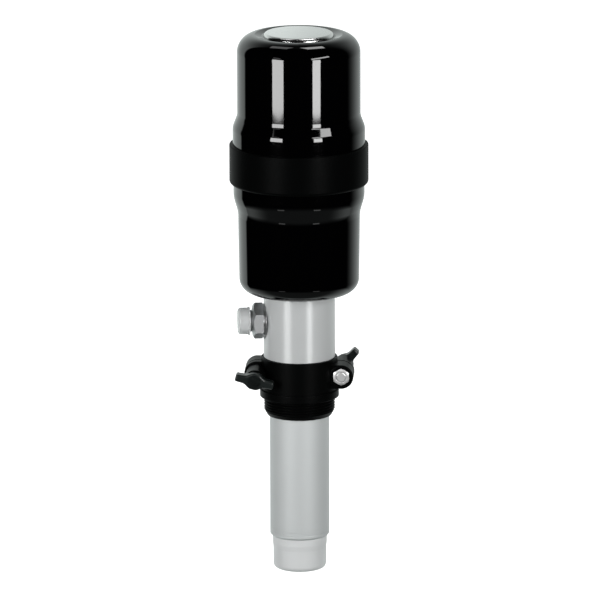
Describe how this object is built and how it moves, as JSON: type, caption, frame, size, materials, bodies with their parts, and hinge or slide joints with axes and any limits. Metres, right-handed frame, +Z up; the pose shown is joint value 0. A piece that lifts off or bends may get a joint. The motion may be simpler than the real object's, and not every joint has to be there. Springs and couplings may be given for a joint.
{
  "type": "pneumatic stub pump",
  "caption": "Air-driven stub pump: bell covers over the air motor, a side outlet and a split clamp that hangs its suction tube in a drum's bung.",
  "frame": {"origin": "on the pump's axis at the underside of the bung adapter's flange, where its pipe thread begins", "axes": "+Z up along the pump's axis, outlet along -X, air inlet along +Y"},
  "size_m": [0.1164, 0.1164, 0.4607],
  "materials": {
    "cover_gloss": "gloss moulded, near black",
    "band_black": "matte black coating",
    "clamp_plastic": "satin moulded, near black",
    "knob_plastic": "satin moulded, near black",
    "tube_satin": "satin anodised",
    "disc_satin": "satin, fine turned",
    "bright_zinc": "bright zinc plate",
    "nipple_steel": "zinc-plated steel",
    "seal_steel": "plain steel",
    "cap_milky": "milky translucent moulding",
    "rubber_black": "black rubber",
    "inner_aluminium": "as machined",
    "inner_steel": "ground steel",
    "ball_chrome": "polished ball",
    "bronze": "machined bronze",
    "seal_plastic": "white packing",
    "foam": "open-cell foam"
  },
  "bodies": {
    "bung": {"bung_front_half": "clamp_plastic", "bung_rear_half": "clamp_plastic", "clamp_nuts": "bright_zinc"},
    "left_screw_seat": {"left_washer": "bright_zinc"},
    "left_wing_screw": {"left_wing_knob": "knob_plastic", "left_stud": "bright_zinc"},
    "right_screw_seat": {"right_washer": "bright_zinc"},
    "right_wing_screw": {"right_wing_knob": "knob_plastic", "right_stud": "bright_zinc"},
    "pump": {"pump_tube": "tube_satin", "tube_ring": "rubber_black", "foot_valve_body": "tube_satin", "foot_ring": "rubber_black", "foot_seat": "inner_steel", "foot_ball_stop": "inner_steel", "outlet_body": "tube_satin", "outlet_nipple": "nipple_steel", "outlet_seal_ring": "seal_steel", "outlet_seal_rubber": "rubber_black", "motor_base": "inner_aluminium", "base_ring": "rubber_black", "gland_packing": "seal_plastic", "gland_nut": "bronze", "rod_air_seal": "rubber_black", "motor_cylinder": "inner_aluminium", "lower_gasket": "rubber_black", "upper_gasket": "rubber_black", "tie_bolts": "inner_steel", "motor_head": "band_black", "lower_cover": "cover_gloss", "cover_circlip": "seal_steel", "upper_cover": "cover_gloss", "cover_disc": "disc_satin", "cover_stud": "inner_steel", "valve_block": "inner_aluminium", "valve_screws": "inner_steel", "valve_sleeve": "bronze", "valve_cap": "inner_aluminium", "silencer_foam": "foam", "silencer_plate": "inner_aluminium"},
    "drive": {"piston_rod": "inner_steel", "piston_seat": "inner_steel", "piston_ball_stop": "inner_steel", "pump_piston": "inner_steel", "pump_piston_seal": "seal_plastic", "air_piston": "inner_aluminium", "air_piston_seal": "rubber_black", "air_piston_nut": "inner_steel", "trip_plate": "inner_steel"},
    "spool_rod": {"trip_rod": "inner_steel", "trip_stop": "inner_steel", "lower_bumper": "rubber_black", "upper_bumper": "rubber_black", "trip_collar": "inner_steel", "spool": "inner_steel", "spool_nut": "inner_steel"},
    "piston_ball": {"piston_ball": "ball_chrome"},
    "foot_ball": {"foot_ball": "ball_chrome"},
    "outlet_cap": {"outlet_cap": "cap_milky"},
    "inlet_cap": {"inlet_cap": "cap_milky"}
  },
  "joints": [
    {"name": "pump_depth", "type": "slide", "parent": "bung", "child": "pump", "axis": [0, 0, 1], "range_m": [0, 0.1]},
    {"name": "left_screw_feed", "type": "slide", "parent": "bung", "child": "left_screw_seat", "axis": [-0.1392, -0.9903, 0], "range_m": [0, 0.00375]},
    {"name": "left_screw_turn", "type": "hinge", "parent": "left_screw_seat", "child": "left_wing_screw", "pos_m": [-0.03555, 0.005, 0.0198], "axis": [-0.1392, -0.9903, 0], "range_deg": [0, 1080]},
    {"name": "right_screw_feed", "type": "slide", "parent": "bung", "child": "right_screw_seat", "axis": [0.1392, 0.9903, 0], "range_m": [0, 0.00375]},
    {"name": "right_screw_turn", "type": "hinge", "parent": "right_screw_seat", "child": "right_wing_screw", "pos_m": [0.03555, -0.005, 0.0198], "axis": [0.1392, 0.9903, 0], "range_deg": [0, 1080]},
    {"name": "drive_stroke", "type": "slide", "parent": "pump", "child": "drive", "axis": [0, 0, 1], "range_m": [0, 0.06]},
    {"name": "piston_ball_lift", "type": "slide", "parent": "drive", "child": "piston_ball", "axis": [0, 0, 1], "range_m": [0, 0.004]},
    {"name": "foot_ball_lift", "type": "slide", "parent": "pump", "child": "foot_ball", "axis": [0, 0, 1], "range_m": [0, 0.005]},
    {"name": "spool_shift", "type": "slide", "parent": "pump", "child": "spool_rod", "axis": [0, 0, 1], "range_m": [0, 0.005], "deforming": ["lower_bumper"]},
    {"name": "outlet_cap_pull", "type": "slide", "parent": "pump", "child": "outlet_cap", "axis": [-1, 0, 0], "range_m": [0, 0.04]},
    {"name": "inlet_cap_pull", "type": "slide", "parent": "pump", "child": "inlet_cap", "axis": [0, 0, -1], "range_m": [0, 0.06]}
  ],
  "couplings": [
    {"joint": "left_screw_turn", "follows": "left_screw_feed", "rad_per_m": 5026.5},
    {"joint": "right_screw_turn", "follows": "right_screw_feed", "rad_per_m": 5026.5}
  ]
}
